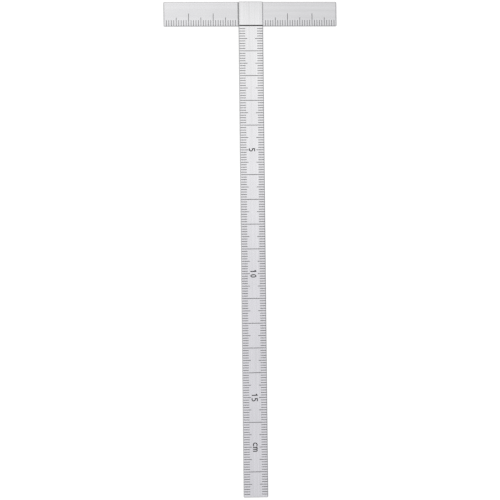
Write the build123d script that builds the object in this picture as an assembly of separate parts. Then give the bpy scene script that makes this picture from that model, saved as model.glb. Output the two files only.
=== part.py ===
from build123d import *
import os

# A small steel T square: a ruler blade riveted across the middle of a short head.
# The origin is the centre of the head's guide face, which is pressed against the edge of the work.
# It lies on the blade's centre line, level with the zero of the blade's scale.
# The head runs along X, the blade runs from the head towards -Y, and the marked faces look to +Z.
# All sizes are in millimetres.

# Steel strips
BLADE_WIDTH = 10.0
BLADE_THICKNESS = 2.0
HEAD_WIDTH = 10.0
HEAD_THICKNESS = 2.0
EDGE_ROUND = 0.45

# Scales, one mark to a millimetre
BLADE_SCALE = 190
BLADE_END_MARGIN = 0.4
HEAD_SCALE = 30
HEAD_END_MARGIN = 0.12
HEAD_ZERO_GAP = 0.13

# Etched marks, filled with black paint
MARK_DEPTH = 0.05
BLADE_MARK_WIDTH = 0.22
HEAD_MARK_WIDTH = 0.2
ZERO_MARK_WIDTH = 0.5
BLADE_SHORT_MARK = 2.6
HEAD_SHORT_MARK = 2.6
HEAD_MIDDLE_MARK = 3.65
HEAD_LONG_MARK = 5.3
NUMBERED_EVERY = 50
UNIT_AFTER_NUMERAL = 20
UNIT_FROM_END = 10

# Numerals and letters
GLYPH_HEIGHT = 2.5
GLYPH_CLEARANCE = 0.2
GLYPH_ASIDE = 0.15
LETTER_HEIGHT = 1.9
GLYPH_WIDTH = 1.3
GLYPH_PITCH = 1.8
GLYPH_STROKE = 0.38
C_OPENING = 100

# Rivets, driven from the back of the head
RIVET_SPACING = 5.2
RIVET_RADIUS = 0.8
RIVET_HEAD_RADIUS = 1.3
RIVET_HEAD_DEPTH = 0.5
RIVET_SEAT_DEPTH = 1.2

# Levels and places that follow from the sizes above
HEAD_BACK = -HEAD_THICKNESS / 2
HEAD_FACE = HEAD_THICKNESS / 2
BLADE_FACE = HEAD_FACE + BLADE_THICKNESS
BLADE_FAR_END = -(BLADE_SCALE + BLADE_END_MARGIN)
HEAD_ZERO = BLADE_WIDTH / 2 + HEAD_ZERO_GAP
HEAD_END = HEAD_ZERO + HEAD_SCALE + HEAD_END_MARGIN
BLADE_LONG_MARK = (BLADE_WIDTH - GLYPH_HEIGHT) / 2 - GLYPH_ASIDE - GLYPH_CLEARANCE
LAST_ROOMY_NUMERAL = (BLADE_SCALE - UNIT_AFTER_NUMERAL - UNIT_FROM_END) // NUMBERED_EVERY * NUMBERED_EVERY
UNIT_MARK_AT = LAST_ROOMY_NUMERAL + UNIT_AFTER_NUMERAL
GLYPH_TOP = (GLYPH_HEIGHT - GLYPH_STROKE) / 2
GLYPH_SIDE = (GLYPH_WIDTH - GLYPH_STROKE) / 2
LETTER_TOP = (LETTER_HEIGHT - GLYPH_STROKE) / 2


def strip(x_range, y_range, z_range):
    """A length of strip with its sawn edges rounded over."""
    low = (x_range[0], y_range[0], z_range[0])
    size = [span[1] - span[0] for span in (x_range, y_range, z_range)]
    blank = Pos(*low) * Box(*size, align=(Align.MIN, Align.MIN, Align.MIN))
    return fillet(blank.edges(), EDGE_ROUND)


def mark_box(x_range, y_range, face):
    """The space that one straight etched mark takes, from its floor to as far above the face."""
    low = (x_range[0], y_range[0], face - MARK_DEPTH)
    size = (x_range[1] - x_range[0], y_range[1] - y_range[0], 2 * MARK_DEPTH)
    return Pos(*low) * Box(*size, align=(Align.MIN, Align.MIN, Align.MIN))


def has_full_line(millimetre):
    """Each centimetre is ruled right across, except where a numeral or the unit stands."""
    has_text = millimetre % NUMBERED_EVERY == 0 or millimetre == UNIT_MARK_AT
    return millimetre % 10 == 0 and not has_text


def blade_mark(millimetre, x_range):
    y = -millimetre
    return mark_box(x_range, (y - BLADE_MARK_WIDTH / 2, y + BLADE_MARK_WIDTH / 2), BLADE_FACE)


def blade_edge_marks(side):
    """The millimetre marks that rise from one long edge; side is -1 for the left, +1 for the right."""
    boxes = []
    for millimetre in range(1, int(BLADE_SCALE)):
        if has_full_line(millimetre):
            continue
        length = BLADE_LONG_MARK if millimetre % 5 == 0 else BLADE_SHORT_MARK
        edge = side * BLADE_WIDTH / 2
        boxes.append(blade_mark(millimetre, sorted((edge, edge - side * length))))
    return boxes


def blade_full_lines():
    across = (-BLADE_WIDTH / 2, BLADE_WIDTH / 2)
    lines = [n for n in range(1, int(BLADE_SCALE)) if has_full_line(n)]
    return [blade_mark(millimetre, across) for millimetre in lines]


def zero_line():
    """The heavy line across the blade, whose lower side is level with the head's guide face."""
    return mark_box((-BLADE_WIDTH / 2, BLADE_WIDTH / 2), (0, ZERO_MARK_WIDTH), BLADE_FACE)


def head_marks(side):
    """The marks that rise from the guide edge on one arm of the head, counted from the blade."""
    boxes = []
    for millimetre in range(1, int(HEAD_SCALE)):
        length = HEAD_SHORT_MARK
        if millimetre % 5 == 0:
            length = HEAD_MIDDLE_MARK
        if millimetre % 10 == 0:
            length = HEAD_LONG_MARK
        x = side * (HEAD_ZERO + millimetre)
        boxes.append(mark_box((x - HEAD_MARK_WIDTH / 2, x + HEAD_MARK_WIDTH / 2), (0, length), HEAD_FACE))
    return boxes


def stroke(*lines):
    """A pen stroke of even width with round ends along joined lines and arcs."""
    return make_face(offset(Wire(lines), GLYPH_STROKE / 2, side=Side.BOTH))


def one():
    """An upright with a short flag that falls back from its top."""
    flag = GLYPH_WIDTH / 3
    return stroke(*Polyline((-flag, GLYPH_TOP - flag), (0, GLYPH_TOP), (0, -GLYPH_TOP)).edges())


def two():
    """A rounded shoulder, a slope down to the left and a flat foot."""
    spring = GLYPH_TOP - GLYPH_SIDE
    shoulder = CenterArc((0, spring), GLYPH_SIDE, 180, -180)
    slope_and_foot = Polyline((GLYPH_SIDE, spring), (-GLYPH_SIDE, -GLYPH_TOP), (GLYPH_SIDE, -GLYPH_TOP))
    return stroke(shoulder, *slope_and_foot.edges())


def five():
    """A bar, a short upright and a bowl, whose right side is level with the middle of the bowl."""
    shoulder = GLYPH_TOP / 6
    bowl_middle = (shoulder - GLYPH_TOP) / 2
    upright = Polyline((GLYPH_SIDE, GLYPH_TOP), (-GLYPH_SIDE, GLYPH_TOP), (-GLYPH_SIDE, shoulder))
    bowl = ThreePointArc((-GLYPH_SIDE, shoulder), (GLYPH_SIDE, bowl_middle), (-GLYPH_SIDE, -GLYPH_TOP))
    return stroke(*upright.edges(), bowl)


def nought():
    """An upright oval ring."""
    outer = Ellipse(GLYPH_WIDTH / 2, GLYPH_HEIGHT / 2)
    inner = Ellipse(GLYPH_WIDTH / 2 - GLYPH_STROKE, GLYPH_HEIGHT / 2 - GLYPH_STROKE)
    return outer - inner


def letter_c():
    """A ring that is open for C_OPENING degrees on its right."""
    return stroke(CenterArc((0, 0), LETTER_TOP, C_OPENING / 2, 360 - C_OPENING))


def letter_m():
    """A stem and two arches, centred as a whole."""
    arch = LETTER_TOP / 2
    letter = stroke(Line((-2 * arch, -LETTER_TOP), (-2 * arch, LETTER_TOP)))
    for middle in (-arch, arch):
        spring = LETTER_TOP - arch
        foot = Line((middle + arch, spring), (middle + arch, -LETTER_TOP))
        letter += stroke(CenterArc((middle, spring), arch, 0, 180), foot)
    return letter


# A blade shorter than 30 cm that is numbered every 5 cm needs no other digits
DIGITS = {"0": nought, "1": one, "2": two, "5": five}


def glyph_fill(glyphs, millimetre):
    """Etched glyphs at one millimetre mark, read towards the far end, a little left of the middle."""
    solids = []
    first = -(len(glyphs) - 1) / 2 * GLYPH_PITCH
    for place, glyph in enumerate(glyphs):
        along = -(millimetre + first + place * GLYPH_PITCH)
        writing = Plane(origin=(-GLYPH_ASIDE, along, BLADE_FACE), x_dir=(0, -1, 0), z_dir=(0, 0, 1))
        solids += (writing * extrude(glyph(), -MARK_DEPTH)).solids()
    return solids


def numeral_fill():
    solids = []
    for millimetre in range(NUMBERED_EVERY, int(BLADE_SCALE), NUMBERED_EVERY):
        text = str(millimetre // 10)
        solids += glyph_fill([DIGITS[digit] for digit in text], millimetre)
    return solids


def paint_fill(blank, boxes):
    """The paint in straight marks: what each mark takes out of the unmarked strip."""
    return [solid for box in boxes for solid in (blank & box).solids()]


def rivet_places():
    middle = Pos(0, HEAD_WIDTH / 2, HEAD_BACK)
    return middle * GridLocations(RIVET_SPACING, RIVET_SPACING, 2, 2)


def rivet():
    """A rivet standing on its flush head. Closing it swells it, so that it fills its hole."""
    upright = (Align.CENTER, Align.CENTER, Align.MIN)
    flush_head = Cone(RIVET_HEAD_RADIUS, RIVET_RADIUS, RIVET_HEAD_DEPTH, align=upright)
    shank = Cylinder(RIVET_RADIUS, HEAD_THICKNESS + RIVET_SEAT_DEPTH, align=upright)
    return flush_head + shank


def save(name, solids):
    export_step(Compound(label=name, children=list(solids)), f"parts/{name}.step")


blade_blank = strip((-BLADE_WIDTH / 2, BLADE_WIDTH / 2), (BLADE_FAR_END, HEAD_WIDTH), (HEAD_FACE, BLADE_FACE))
head_blank = strip((-HEAD_END, HEAD_END), (0, HEAD_WIDTH), (HEAD_BACK, HEAD_FACE))
rivets = [place * rivet() for place in rivet_places()]

blade_paint = {
    "blade_left_scale_paint": paint_fill(blade_blank, blade_edge_marks(-1)),
    "blade_right_scale_paint": paint_fill(blade_blank, blade_edge_marks(1)),
    "blade_centimetre_paint": paint_fill(blade_blank, blade_full_lines()),
    "blade_zero_line_paint": paint_fill(blade_blank, [zero_line()]),
    "blade_numeral_paint": numeral_fill(),
    "blade_unit_paint": glyph_fill([letter_c, letter_m], UNIT_MARK_AT),
}
head_paint = {
    "head_left_scale_paint": paint_fill(head_blank, head_marks(-1)),
    "head_right_scale_paint": paint_fill(head_blank, head_marks(1)),
}

blade = blade_blank - rivets - [solid for group in blade_paint.values() for solid in group]
head = head_blank - rivets - [solid for group in head_paint.values() for solid in group]

os.makedirs("parts", exist_ok=True)
save("blade", blade.solids())
save("head", head.solids())
save("lap_rivets", rivets)
for name, solids in (blade_paint | head_paint).items():
    save(name, solids)
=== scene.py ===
from math import atan2, radians

import bpy
from bpy.props import FloatProperty, FloatVectorProperty, PointerProperty
from mathutils import Matrix, Vector


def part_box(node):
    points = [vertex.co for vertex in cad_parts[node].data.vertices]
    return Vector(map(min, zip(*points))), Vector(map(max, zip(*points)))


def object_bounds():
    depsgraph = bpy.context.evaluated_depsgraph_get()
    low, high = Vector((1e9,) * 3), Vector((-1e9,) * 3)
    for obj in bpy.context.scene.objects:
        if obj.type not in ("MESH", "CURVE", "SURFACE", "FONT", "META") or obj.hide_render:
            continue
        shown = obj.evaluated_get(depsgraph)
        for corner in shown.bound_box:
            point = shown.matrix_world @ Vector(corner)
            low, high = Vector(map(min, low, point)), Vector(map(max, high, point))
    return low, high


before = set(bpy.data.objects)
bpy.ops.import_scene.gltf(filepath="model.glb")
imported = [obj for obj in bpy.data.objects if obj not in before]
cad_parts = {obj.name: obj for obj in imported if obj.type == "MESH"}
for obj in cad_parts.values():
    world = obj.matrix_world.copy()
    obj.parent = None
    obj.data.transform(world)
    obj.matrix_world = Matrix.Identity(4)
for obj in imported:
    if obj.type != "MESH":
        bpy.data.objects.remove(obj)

bl_info = {
    "name": "Steel T Square Finish",
    "version": (1, 0, 0),
    "blender": (4, 5, 0),
    "location": "View3D > Sidebar > T Square",
    "description": "Gives the packed steel T square its brushed steel, its painted marks and a studio",
    "category": "Object",
}

MM = 0.001
CAD_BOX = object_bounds()
BLADE_LOW, BLADE_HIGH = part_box("blade")
HEAD_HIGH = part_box("head")[1]
RIVETS_LOW, RIVETS_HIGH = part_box("lap_rivets")
MARKS = sorted(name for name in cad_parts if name.endswith("_paint"))

# The inputs of a colour Mix node: how far it goes from the first colour to the second, and the two
SHARE = 0
FIRST = 6
SECOND = 7

# How far a normal points up, from 0 to 1, where a rounded corner starts and where it counts as sawn
CORNER_STARTS = 0.98
CORNER_SAWN = 0.7

# The values of a noise, from 0 to 1, between which a pattern rises from nothing to full
LINE_VALUES = (0.3, 0.7)
SCRATCH_VALUES = (0.68, 0.76)
THIN_PATCH_VALUES = (0.5, 0.75)

# How many times finer detail is added to a noise, and which part of the brushing is streaks, not lines
NOISE_DETAIL = 3.0
STREAK_SHARE = 0.5

# How much roughness each pattern adds
LINE_ROUGHNESS = 0.05
HAZE_ROUGHNESS = 0.05
GROUND_ROUGHNESS = 0.1
GRAIN_ROUGHNESS = 0.2

# A grinding line on a rivet is this many times as long as it is wide
GROUND_LENGTH = 6

# Along one axis of the direction of view, where each change of the light tent starts and is full
LEFT_TO_RIGHT = ("X", 0.0, 0.25)
BEHIND_TO_FRONT = ("Y", 0.045, 0.01)
FRONT_TO_FAR_FRONT = ("Y", -0.06, -0.1)
LEFT_TO_FAR_LEFT = ("X", -0.15, -0.6)
TOP_TO_EDGE = ("Z", 0.75, 0.0)
EDGE_TO_FOOT = ("Z", 0.5, 0.35)

# The nearest and furthest that the camera sees, in metres
NEAREST_SEEN = 0.01
FURTHEST_SEEN = 100.0

# Colours as sRGB hex
BLADE_BRIGHT = "D3D3D3"
BLADE_DULL = "C3C3C3"
# The next colour is painted shade: it darkens the blade's end over the head towards the head's back
BLADE_LAP_SHADE = "F5F5F5"
HEAD_BRIGHT = "C7C7C7"
HEAD_DULL = "BABABA"
# The next colour would paint the same shade on the head towards its back edge; it is white, so it paints
# nothing
HEAD_LAP_SHADE = "FFFFFF"
STEEL_EDGE = "BEBEBE"
SEAM_GREY = "4A484A"
# The next colour is painted shade in the corners where the blade's sides meet the head's face
CORNER_SHADE_GREY = "3A393B"
PAINT_BLACK = "0E0D0F"
PAINT_WORN = "1F1E21"
FLOOR_SHEET = "8A8A8A"
FLOOR_LIGHT = "FFFFFF"
SKY_LEFT = "FFFFFF"
SKY_RIGHT = "9B9B9E"
SKY_BEHIND = "F6F6F6"
SKY_FRONT = "F5F4F9"
SKY_FAR_FRONT = "E8E8E8"
SKY_FAR_LEFT = "B4B4B6"
SKY_EDGE = "8C8C8D"
SKY_FOOT = "BEBEBE"
LAMP_WHITE = "FFFFFF"
NO_TINT = "FFFFFF"


def linear(hex_colour):
    """An sRGB hex colour as linear red, green, blue and alpha."""
    shares = [int(hex_colour[i : i + 2], 16) / 255 for i in (0, 2, 4)]
    return [s / 12.92 if s <= 0.04045 else ((s + 0.055) / 1.055) ** 2.4 for s in shares] + [1.0]


def node(tree, kind, inputs=None, **properties):
    """Adds one node with its properties. Each input takes a value or another node's output."""
    made = tree.nodes.new(kind)
    for name, value in properties.items():
        setattr(made, name, value)
    for name, value in (inputs or {}).items():
        if isinstance(value, bpy.types.NodeSocket):
            tree.links.new(value, made.inputs[name])
        else:
            made.inputs[name].default_value = value
    return made


def new_material(name):
    """A node material with nothing in it yet, and its tree."""
    material = bpy.data.materials.new(name)
    material.use_nodes = True
    material.node_tree.nodes.clear()
    return material, material.node_tree


def colour_setting(name, description, hex_colour):
    return FloatVectorProperty(
        name=name, description=description, default=linear(hex_colour), size=4, min=0, max=1, subtype="COLOR"
    )


def length_setting(name, description, metres):
    return FloatProperty(
        name=name, description=description, default=metres, precision=5, subtype="DISTANCE", unit="LENGTH"
    )


def angle_setting(name, description, degrees):
    return FloatProperty(
        name=name, description=description, default=radians(degrees), subtype="ANGLE", unit="ROTATION"
    )


def share_setting(name, description, share):
    return FloatProperty(name=name, description=description, default=share, min=0, max=1, subtype="FACTOR")


def strength_setting(name, description, strength):
    return FloatProperty(name=name, description=description, default=strength, min=0)


class SteelSettings(bpy.types.PropertyGroup):
    """The stainless steel of both strips and of the rivets"""

    blade_bright: colour_setting("Blade bright", "The crests of the blade's brush lines", BLADE_BRIGHT)
    blade_dull: colour_setting("Blade dull", "The troughs of the blade's brush lines", BLADE_DULL)
    # Painted shade: this tint darkens the blade's end over the head towards the head's back
    blade_lap_shade: colour_setting("Blade lapped", "The tint of the blade's end", BLADE_LAP_SHADE)
    head_bright: colour_setting("Head bright", "The crests of the head's brush lines", HEAD_BRIGHT)
    head_dull: colour_setting("Head dull", "The troughs of the head's brush lines", HEAD_DULL)
    # Painted shade: this tint would darken the head towards its back edge
    head_lap_shade: colour_setting("Head lapped", "The tint of the head's back edge", HEAD_LAP_SHADE)
    edge: colour_setting("Sawn edge", "The metal of the sawn sides and their rounded corners", STEEL_EDGE)
    seam: colour_setting("Seam", "The fine dark line around each rivet", SEAM_GREY)
    line_width: length_setting("Line width", "From one brush line to the next", 0.35 * MM)
    line_length: length_setting("Line length", "How far a brush line runs", 30 * MM)
    line_depth: length_setting("Line depth", "From the crest to the trough of a brush line", 0.002 * MM)
    streak_width: length_setting("Streak width", "Width of a lighter or duller streak", 1.6 * MM)
    streak_length: length_setting("Streak length", "How far a streak runs", 120 * MM)
    haze_size: length_setting("Haze size", "Width of the faint clouds that hands leave", 14 * MM)
    scratch_width: length_setting("Scratch width", "Width of a scratch from use", 0.15 * MM)
    scratch_length: length_setting("Scratch length", "How far a scratch runs", 9 * MM)
    scratch_turn: angle_setting("Scratch turn", "The angle of the scratches to the brush lines", 23)
    seam_width: length_setting("Seam width", "Width of the dark line around a rivet", 0.08 * MM)
    # The next two settings paint shade into the corners where the blade's sides meet the head's face
    corner: colour_setting("Corner dirt", "The dirt in the corner between blade and head", CORNER_SHADE_GREY)
    corner_shade_size: length_setting("Corner dirt size", "How far the dirt reaches from it", 0.15 * MM)
    roughness: share_setting("Roughness", "Roughness of clean brushed metal", 0.2)
    edge_roughness: share_setting("Edge roughness", "Roughness of the sawn sides", 0.22)
    across: share_setting("Spread across lines", "How much more the light spreads across the lines", 0.7)


class PaintSettings(bpy.types.PropertyGroup):
    """The black paint that fills the etched marks"""

    black: colour_setting("Black paint", "The full body of the paint", PAINT_BLACK)
    worn: colour_setting("Worn paint", "Where the paint is thin or rubbed", PAINT_WORN)
    patch_size: length_setting("Patch size", "Width of a thin patch in the paint", 0.8 * MM)
    grain_size: length_setting("Grain size", "Width of a grain in the paint's surface", 0.12 * MM)
    grain_depth: length_setting("Grain depth", "Height of a grain in the paint's surface", 0.006 * MM)
    roughness: share_setting("Roughness", "Roughness of the dry paint", 0.75)
    ior: FloatProperty(name="IOR", description="Index of refraction of the dry paint", default=1.5, min=1)


class StageSettings(bpy.types.PropertyGroup):
    """The floor, the light and the camera"""

    floor_sheet: colour_setting("Floor sheet", "The matt sheet that makes the floor", FLOOR_SHEET)
    floor_light: colour_setting("Floor light", "The light from under the sheet", FLOOR_LIGHT)
    floor_glow: strength_setting("Floor glow", "Brightness of the light from under the sheet", 0.86)
    floor_roughness: share_setting("Floor roughness", "Roughness of the matt sheet", 0.9)
    floor_size: length_setting("Floor size", "Length of one side of the floor", 6.0)
    sky_left: colour_setting("Sky left", "The tint of the tent overhead to the left", SKY_LEFT)
    sky_right: colour_setting("Sky right", "The tint of the tent to the right", SKY_RIGHT)
    sky_behind: colour_setting("Sky behind", "The tint of the tent behind the head", SKY_BEHIND)
    sky_front: colour_setting("Sky front", "The tint of the tent over the blade", SKY_FRONT)
    sky_far_front: colour_setting("Sky far front", "The tint past the blade's end", SKY_FAR_FRONT)
    sky_far_left: colour_setting("Sky far left", "The tint low down to the left", SKY_FAR_LEFT)
    sky_edge: colour_setting("Sky edge", "The tint of the tent near the floor", SKY_EDGE)
    sky_foot: colour_setting("Sky foot", "The strip of light around the foot of the tent", SKY_FOOT)
    sky_strength: strength_setting("Sky strength", "Brightness of the tent", 1.87)
    lamp: colour_setting("Lamp", "The large soft lamp", LAMP_WHITE)
    lamp_power: FloatProperty(
        name="Lamp power", description="Power of the lamp", default=0.6, min=0, unit="POWER"
    )
    lamp_size: length_setting("Lamp size", "Length of one side of the lamp", 0.9)
    lamp_height: length_setting("Lamp height", "From the floor to the lamp", 1.5)
    lamp_right: length_setting("Lamp right", "How far right of the blade the lamp's middle is", 0.15)
    lamp_back: length_setting("Lamp back", "How far behind the head the lamp's middle is", 0.416)
    view_distance: length_setting("View distance", "From the camera to the blade's face", 1.2)
    view_turn: angle_setting("View turn", "How far the camera stands to the left of the blade", 6.37)
    view_tilt: angle_setting("View tilt", "How far the camera leans towards the head", -0.283)
    view_roll: angle_setting("View roll", "How far the picture is turned clockwise", 0.625)
    view_angle: angle_setting("View angle", "Width of the camera's view", 9.6145)
    aim_aside: length_setting("Aim aside", "How far left of the blade's middle the camera aims", 1.42 * MM)
    aim_below: length_setting("Aim below", "How far below the tool's middle the camera aims", 0.23 * MM)


def drawn_lines(tree, place, width, length, turn, values=LINE_VALUES):
    """Noise drawn out into lines that run at an angle to X, from 0 at one value of it to 1 at another."""
    laid = node(
        tree,
        "ShaderNodeMapping",
        {"Vector": place, "Rotation": (0.0, 0.0, turn), "Scale": (length, width, width)},
        vector_type="TEXTURE",
    )
    grain = {"Vector": laid.outputs[0], "Scale": 1.0, "Detail": NOISE_DETAIL}
    noise = node(tree, "ShaderNodeTexNoise", grain)
    limits = {"Value": noise.outputs["Fac"], "From Min": values[0], "From Max": values[1]}
    return node(tree, "ShaderNodeMapRange", limits).outputs[0]


def sawn_share(tree):
    """0 on the flat faces, rising round the rounded corners to 1 on the sawn sides and ends."""
    normal = node(tree, "ShaderNodeTexCoord").outputs["Normal"]
    upright = node(tree, "ShaderNodeSeparateXYZ", {0: normal}).outputs["Z"]
    flatness = node(tree, "ShaderNodeMath", {0: upright}, operation="ABSOLUTE").outputs[0]
    limits = {"Value": flatness, "From Min": CORNER_STARTS, "From Max": CORNER_SAWN}
    return node(tree, "ShaderNodeMapRange", limits).outputs[0]


def rivet_square():
    """The middle of the four rivets, the way from there to the middle of one, and its radius."""
    middle = (RIVETS_LOW + RIVETS_HIGH) / 2
    ways = [vertex.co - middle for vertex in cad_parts["lap_rivets"].data.vertices]
    one_rivet = [way for way in ways if way.x > 0 and way.y > 0]
    nearest = min(way.x for way in one_rivet)
    furthest = max(way.x for way in one_rivet)
    centre = (nearest + furthest) / 2
    return middle, centre, (furthest - nearest) / 2


def rivet_seams(tree, place, width):
    """1 on a fine ring around each rivet and 0 elsewhere. The four rivets stand in a square."""
    middle, centre, radius = rivet_square()
    on_face = {0: place, 1: (1.0, 1.0, 0.0), 2: (-middle.x, -middle.y, 0.0)}
    moved = node(tree, "ShaderNodeVectorMath", on_face, operation="MULTIPLY_ADD").outputs[0]
    folded = node(tree, "ShaderNodeVectorMath", {0: moved}, operation="ABSOLUTE").outputs[0]
    rivet = {0: folded, 1: (centre, centre, 0.0)}
    reach = node(tree, "ShaderNodeVectorMath", rivet, operation="DISTANCE").outputs["Value"]
    past = node(tree, "ShaderNodeMath", {0: reach, 1: radius}, operation="SUBTRACT").outputs[0]
    off = node(tree, "ShaderNodeMath", {0: past}, operation="ABSOLUTE").outputs[0]
    limits = {"Value": off, "From Min": width, "From Max": width / 2}
    return node(tree, "ShaderNodeMapRange", limits).outputs[0]


def lap_corner_shade(tree, place, reach):
    """The mask of painted shade: 1 in the two corners where the blade's sides meet the head's face, falling
    to 0 at a reach.
    """
    folded = node(tree, "ShaderNodeVectorMath", {0: place}, operation="ABSOLUTE").outputs[0]
    across_blade = {0: folded, 1: (1.0, 0.0, 1.0)}
    section = node(tree, "ShaderNodeVectorMath", across_blade, operation="MULTIPLY").outputs[0]
    corner = {0: section, 1: (BLADE_HIGH.x, 0.0, HEAD_HIGH.z)}
    away = node(tree, "ShaderNodeVectorMath", corner, operation="DISTANCE").outputs["Value"]
    limits = {"Value": away, "From Min": reach, "From Max": reach / 2}
    near = node(tree, "ShaderNodeMapRange", limits).outputs[0]
    ways = node(tree, "ShaderNodeSeparateXYZ", {0: place}).outputs
    above_head = node(tree, "ShaderNodeMath", {0: ways["Y"], 1: 0.0}, operation="GREATER_THAN").outputs[0]
    in_front = node(tree, "ShaderNodeMath", {0: ways["Z"], 1: 0.0}, operation="GREATER_THAN").outputs[0]
    on_lap = node(tree, "ShaderNodeMath", {0: above_head, 1: in_front}, operation="MULTIPLY").outputs[0]
    return node(tree, "ShaderNodeMath", {0: near, 1: on_lap}, operation="MULTIPLY").outputs[0]


def brushed_steel(name, turn, metal, steel):
    """Satin stainless strip, belt-brushed along its length and sawn from the sheet.

    The brushing draws fine lighter and duller lines along the strip and stretches each reflection
    across them, so the face looks soft and whitish and never mirrors. The sawn sides and their
    rounded corners are plainer and a little darker, so they outline the strip. Painted shade makes
    the end that lies on the head darker towards the head's back, and paints the fine corner where
    the strips meet dark in place of a contact shadow. Use adds faint clouds and a few short
    scratches. Real brush lines are about 0.05 mm apart, which is too fine to show, so they are
    drawn about seven times as coarse.
    """
    bright, dull, lap_shade = [list(colour) for colour in metal]
    material, tree = new_material(name)
    place = node(tree, "ShaderNodeTexCoord").outputs["Object"]
    lines = drawn_lines(tree, place, steel.line_width, steel.line_length, turn)
    streaks = drawn_lines(tree, place, steel.streak_width, steel.streak_length, turn)
    haze = drawn_lines(tree, place, steel.haze_size, steel.haze_size, turn)
    scratch_turn = turn + steel.scratch_turn
    scratches = drawn_lines(
        tree, place, steel.scratch_width, steel.scratch_length, scratch_turn, SCRATCH_VALUES
    )
    sawn = sawn_share(tree)

    grain = node(tree, "ShaderNodeMix", {"Factor": STREAK_SHARE, "A": lines, "B": streaks}).outputs[0]
    brushing = {SHARE: grain, FIRST: dull, SECOND: bright}
    brushed = node(tree, "ShaderNodeMix", brushing, data_type="RGBA").outputs[2]
    depth = node(tree, "ShaderNodeSeparateXYZ", {0: place}).outputs["Y"]
    # Painted shade: the blade's end over the head grows darker towards the head's back
    lap = {"Value": depth, "From Min": 0.0, "From Max": HEAD_HIGH.y}
    lap_shade_share = node(tree, "ShaderNodeMapRange", lap).outputs[0]
    lap_shading = {SHARE: lap_shade_share, FIRST: brushed, SECOND: lap_shade}
    strip = node(tree, "ShaderNodeMix", lap_shading, data_type="RGBA", blend_type="MULTIPLY").outputs[2]
    scratching = {SHARE: scratches, FIRST: strip, SECOND: bright}
    scratched = node(tree, "ShaderNodeMix", scratching, data_type="RGBA").outputs[2]
    sawing = {SHARE: sawn, FIRST: scratched, SECOND: list(steel.edge)}
    edged = node(tree, "ShaderNodeMix", sawing, data_type="RGBA").outputs[2]
    # Painted shade: the corners where the blade's sides meet the head's face are painted dark
    painted_shade = lap_corner_shade(tree, place, steel.corner_shade_size)
    corner_shading = {SHARE: painted_shade, FIRST: edged, SECOND: list(steel.corner)}
    colour = node(tree, "ShaderNodeMix", corner_shading, data_type="RGBA").outputs[2]

    lined = {0: lines, 1: LINE_ROUGHNESS, 2: steel.roughness - LINE_ROUGHNESS}
    face_roughness = node(tree, "ShaderNodeMath", lined, operation="MULTIPLY_ADD").outputs[0]
    hazed = {0: haze, 1: HAZE_ROUGHNESS, 2: face_roughness}
    hazy_roughness = node(tree, "ShaderNodeMath", hazed, operation="MULTIPLY_ADD").outputs[0]
    sawn_smooth = {"Factor": sawn, "A": hazy_roughness, "B": steel.edge_roughness}
    roughness = node(tree, "ShaderNodeMix", sawn_smooth).outputs[0]

    bump = node(tree, "ShaderNodeBump", {"Strength": 1.0, "Distance": steel.line_depth, "Height": lines})
    across = Matrix.Rotation(turn, 3, "Z") @ Vector((0.0, 1.0, 0.0))
    tangent = node(tree, "ShaderNodeCombineXYZ", {"X": across.x, "Y": across.y})
    metal_look = {
        "Metallic": 1.0,
        "Anisotropic": steel.across,
        "Base Color": colour,
        "Roughness": roughness,
        "Normal": bump.outputs[0],
        "Tangent": tangent.outputs[0],
    }
    surface = node(tree, "ShaderNodeBsdfPrincipled", metal_look)
    node(tree, "ShaderNodeOutputMaterial", {"Surface": surface.outputs[0]})
    return material


def ground_steel(name, steel):
    """Steel rivets ground flush with the head's back.

    Grinding leaves them a little duller than the strip, with short lines along the head, and a dark
    seam shows around each one.
    """
    material, tree = new_material(name)
    place = node(tree, "ShaderNodeTexCoord").outputs["Object"]
    lines = drawn_lines(tree, place, steel.line_width, GROUND_LENGTH * steel.line_width, 0.0)
    seams = rivet_seams(tree, place, steel.seam_width)
    grinding = {SHARE: lines, FIRST: list(steel.edge), SECOND: list(steel.head_bright)}
    ground = node(tree, "ShaderNodeMix", grinding, data_type="RGBA").outputs[2]
    seaming = {SHARE: seams, FIRST: ground, SECOND: list(steel.seam)}
    colour = node(tree, "ShaderNodeMix", seaming, data_type="RGBA").outputs[2]
    lined = {0: lines, 1: GROUND_ROUGHNESS, 2: steel.roughness}
    roughness = node(tree, "ShaderNodeMath", lined, operation="MULTIPLY_ADD").outputs[0]
    bump = node(tree, "ShaderNodeBump", {"Strength": 1.0, "Distance": steel.line_depth, "Height": lines})
    metal_look = {
        "Metallic": 1.0,
        "Base Color": colour,
        "Roughness": roughness,
        "Normal": bump.outputs[0],
    }
    surface = node(tree, "ShaderNodeBsdfPrincipled", metal_look)
    node(tree, "ShaderNodeOutputMaterial", {"Surface": surface.outputs[0]})
    return material


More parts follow.
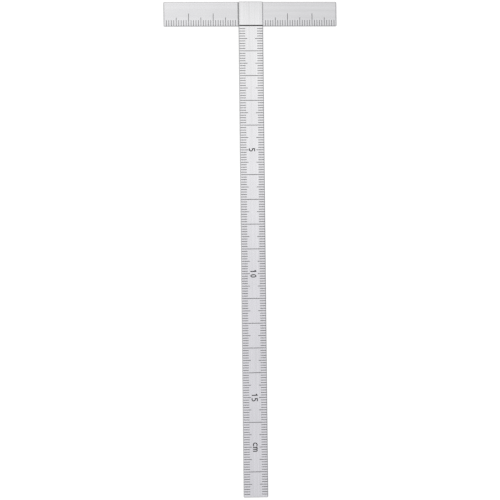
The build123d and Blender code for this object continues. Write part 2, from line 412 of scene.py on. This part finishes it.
def filling_paint(name, paint):
    """Black enamel wiped into etched marks.

    It dries matt and slightly grainy, and is thin and greyer in small patches where the wiping
    cloth or a finger has rubbed it.
    """
    material, tree = new_material(name)
    place = node(tree, "ShaderNodeTexCoord").outputs["Object"]
    patches = drawn_lines(tree, place, paint.patch_size, paint.patch_size, 0.0, THIN_PATCH_VALUES)
    grain = drawn_lines(tree, place, paint.grain_size, paint.grain_size, 0.0)
    wearing = {SHARE: patches, FIRST: list(paint.black), SECOND: list(paint.worn)}
    colour = node(tree, "ShaderNodeMix", wearing, data_type="RGBA").outputs[2]
    grained = {0: grain, 1: GRAIN_ROUGHNESS, 2: paint.roughness - GRAIN_ROUGHNESS / 2}
    roughness = node(tree, "ShaderNodeMath", grained, operation="MULTIPLY_ADD").outputs[0]
    bump = node(tree, "ShaderNodeBump", {"Strength": 1.0, "Distance": paint.grain_depth, "Height": grain})
    paint_look = {
        "IOR": paint.ior,
        "Base Color": colour,
        "Roughness": roughness,
        "Normal": bump.outputs[0],
    }
    surface = node(tree, "ShaderNodeBsdfPrincipled", paint_look)
    node(tree, "ShaderNodeOutputMaterial", {"Surface": surface.outputs[0]})
    return material


def clothe(names, material):
    """Gives CAD nodes one material."""
    for name in names:
        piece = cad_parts[name]
        piece.data.materials.clear()
        piece.data.materials.append(material)


class TSQUARE_OT_finish_blade(bpy.types.Operator):
    """Brushes the blade along its length"""

    bl_idname = "tsquare.finish_blade"
    bl_label = "Finish Blade"

    def execute(self, context):
        steel = context.scene.tsquare_steel
        along_y = radians(90)
        metal = (steel.blade_bright, steel.blade_dull, steel.blade_lap_shade)
        material = brushed_steel("stainless_brushed_blade", along_y, metal, steel)
        clothe(["blade"], material)
        return {"FINISHED"}


class TSQUARE_OT_finish_head(bpy.types.Operator):
    """Brushes the head along its length"""

    bl_idname = "tsquare.finish_head"
    bl_label = "Finish Head"

    def execute(self, context):
        steel = context.scene.tsquare_steel
        along_x = 0.0
        metal = (steel.head_bright, steel.head_dull, steel.head_lap_shade)
        material = brushed_steel("stainless_brushed_head", along_x, metal, steel)
        clothe(["head"], material)
        return {"FINISHED"}


class TSQUARE_OT_finish_rivets(bpy.types.Operator):
    """Grinds the rivets flush with the head's back"""

    bl_idname = "tsquare.finish_rivets"
    bl_label = "Finish Rivets"

    def execute(self, context):
        clothe(["lap_rivets"], ground_steel("steel_ground_rivet", context.scene.tsquare_steel))
        return {"FINISHED"}


class TSQUARE_OT_paint_marks(bpy.types.Operator):
    """Fills every etched mark and numeral with black paint"""

    bl_idname = "tsquare.paint_marks"
    bl_label = "Paint Marks"

    def execute(self, context):
        clothe(MARKS, filling_paint("enamel_black_filling", context.scene.tsquare_paint))
        return {"FINISHED"}


def lay_floor(stage):
    """A light table of matt opal acrylic, which fills the shadows on it from below.

    The tool rests on the lower edge of the head's guide face and on the far end of the blade, which
    lies on top of the head, so the table slopes up a little from the one to the other.
    """
    half = stage.floor_size / 2
    level = CAD_BOX[0][2]
    corners = [(-half, -half, 0), (half, -half, 0), (half, half, 0), (-half, half, 0)]
    mesh = bpy.data.meshes.new("studio_floor")
    mesh.from_pydata(corners, [], [(0, 1, 2, 3)])
    floor = bpy.data.objects.new("studio_floor", mesh)
    bpy.context.collection.objects.link(floor)
    lift = BLADE_LOW.z - level
    floor.location.z = level
    floor.rotation_euler.x = atan2(-lift, -CAD_BOX[0].y)
    material, tree = new_material("acrylic_opal_floor")
    matt = {
        "Base Color": list(stage.floor_sheet),
        "Roughness": stage.floor_roughness,
        "Emission Color": list(stage.floor_light),
        "Emission Strength": stage.floor_glow,
    }
    surface = node(tree, "ShaderNodeBsdfPrincipled", matt)
    node(tree, "ShaderNodeOutputMaterial", {"Surface": surface.outputs[0]})
    mesh.materials.append(material)


def light_sky(stage):
    """A light tent.

    It is brightest overhead and to the left, and a little duller and cooler over the blade. It falls
    off towards the floor, where a strip of light runs around its foot.
    """
    world = bpy.data.worlds.new("light_tent")
    world.use_nodes = True
    tree = world.node_tree
    tree.nodes.clear()
    direction = node(tree, "ShaderNodeTexCoord").outputs["Generated"]
    ways = node(tree, "ShaderNodeSeparateXYZ", {0: direction}).outputs
    sky = no_tint = linear(NO_TINT)
    changes = (
        (LEFT_TO_RIGHT, stage.sky_left, stage.sky_right),
        (BEHIND_TO_FRONT, stage.sky_behind, stage.sky_front),
        (FRONT_TO_FAR_FRONT, no_tint, stage.sky_far_front),
        (LEFT_TO_FAR_LEFT, no_tint, stage.sky_far_left),
        (TOP_TO_EDGE, no_tint, stage.sky_edge),
    )
    for (axis, start, full), first, second in changes:
        limits = {"Value": ways[axis], "From Min": start, "From Max": full}
        share = node(tree, "ShaderNodeMapRange", limits).outputs[0]
        tints = {SHARE: share, FIRST: list(first), SECOND: list(second)}
        tint = node(tree, "ShaderNodeMix", tints, data_type="RGBA").outputs[2]
        layers = {SHARE: 1.0, FIRST: sky, SECOND: tint}
        sky = node(tree, "ShaderNodeMix", layers, data_type="RGBA", blend_type="MULTIPLY").outputs[2]
    axis, start, full = EDGE_TO_FOOT
    limits = {"Value": ways[axis], "From Min": start, "From Max": full}
    foot_share = node(tree, "ShaderNodeMapRange", limits).outputs[0]
    strip = {SHARE: foot_share, FIRST: sky, SECOND: list(stage.sky_foot)}
    tent = node(tree, "ShaderNodeMix", strip, data_type="RGBA").outputs[2]
    light = node(tree, "ShaderNodeBackground", {"Strength": stage.sky_strength, "Color": tent})
    node(tree, "ShaderNodeOutputWorld", {"Surface": light.outputs[0]})
    bpy.context.scene.world = world


def hang_lamp(stage):
    """A large soft lamp overhead, behind the head."""
    data = bpy.data.lights.new("soft_lamp", "AREA")
    data.shape = "SQUARE"
    data.size = stage.lamp_size
    data.energy = stage.lamp_power
    data.color = list(stage.lamp)[:3]
    lamp = bpy.data.objects.new("soft_lamp", data)
    bpy.context.collection.objects.link(lamp)
    lamp.location = (stage.lamp_right, stage.lamp_back, stage.lamp_height)


def stand_camera(stage):
    """The camera looks almost straight down from a little to the left of the blade."""
    middle = (CAD_BOX[0] + CAD_BOX[1]) / 2
    aim = Vector((middle.x - stage.aim_aside, middle.y - stage.aim_below, BLADE_HIGH.z))
    view = Matrix.Rotation(-stage.view_turn, 4, "Y")
    view @= Matrix.Rotation(-stage.view_tilt, 4, "X")
    view @= Matrix.Rotation(-stage.view_roll, 4, "Z")
    data = bpy.data.cameras.new("camera")
    data.angle = stage.view_angle
    data.clip_start = NEAREST_SEEN
    data.clip_end = FURTHEST_SEEN
    camera = bpy.data.objects.new("camera", data)
    bpy.context.collection.objects.link(camera)
    camera.matrix_world = Matrix.Translation(aim) @ view @ Matrix.Translation((0, 0, stage.view_distance))
    bpy.context.scene.camera = camera


class TSQUARE_OT_build_stage(bpy.types.Operator):
    """Lays the floor, hangs the lights and stands the camera"""

    bl_idname = "tsquare.build_stage"
    bl_label = "Build Stage"

    def execute(self, context):
        stage = context.scene.tsquare_stage
        lay_floor(stage)
        light_sky(stage)
        hang_lamp(stage)
        stand_camera(stage)
        context.scene.view_settings.view_transform = "Standard"
        return {"FINISHED"}


SETTINGS = {
    "tsquare_steel": SteelSettings,
    "tsquare_paint": PaintSettings,
    "tsquare_stage": StageSettings,
}
STEPS = (
    TSQUARE_OT_finish_blade,
    TSQUARE_OT_finish_head,
    TSQUARE_OT_finish_rivets,
    TSQUARE_OT_paint_marks,
    TSQUARE_OT_build_stage,
)


class TSQUARE_PT_panel(bpy.types.Panel):
    """The T square's settings and steps"""

    bl_idname = "TSQUARE_PT_panel"
    bl_label = "T Square"
    bl_space_type = "VIEW_3D"
    bl_region_type = "UI"
    bl_category = "T Square"

    def draw(self, context):
        for group_name in SETTINGS:
            group = getattr(context.scene, group_name)
            box = self.layout.box()
            for name in group.__annotations__:
                box.prop(group, name)
        for step in STEPS:
            self.layout.operator(step.bl_idname)


CLASSES = (*SETTINGS.values(), *STEPS, TSQUARE_PT_panel)


def register():
    for item in CLASSES:
        bpy.utils.register_class(item)
    for name, group in SETTINGS.items():
        setattr(bpy.types.Scene, name, PointerProperty(type=group))


def unregister():
    for name in SETTINGS:
        delattr(bpy.types.Scene, name)
    for item in reversed(CLASSES):
        bpy.utils.unregister_class(item)


def main():
    register()
    bpy.ops.tsquare.finish_blade()
    bpy.ops.tsquare.finish_head()
    bpy.ops.tsquare.finish_rivets()
    bpy.ops.tsquare.paint_marks()
    bpy.ops.tsquare.build_stage()


if __name__ == "__main__":
    main()
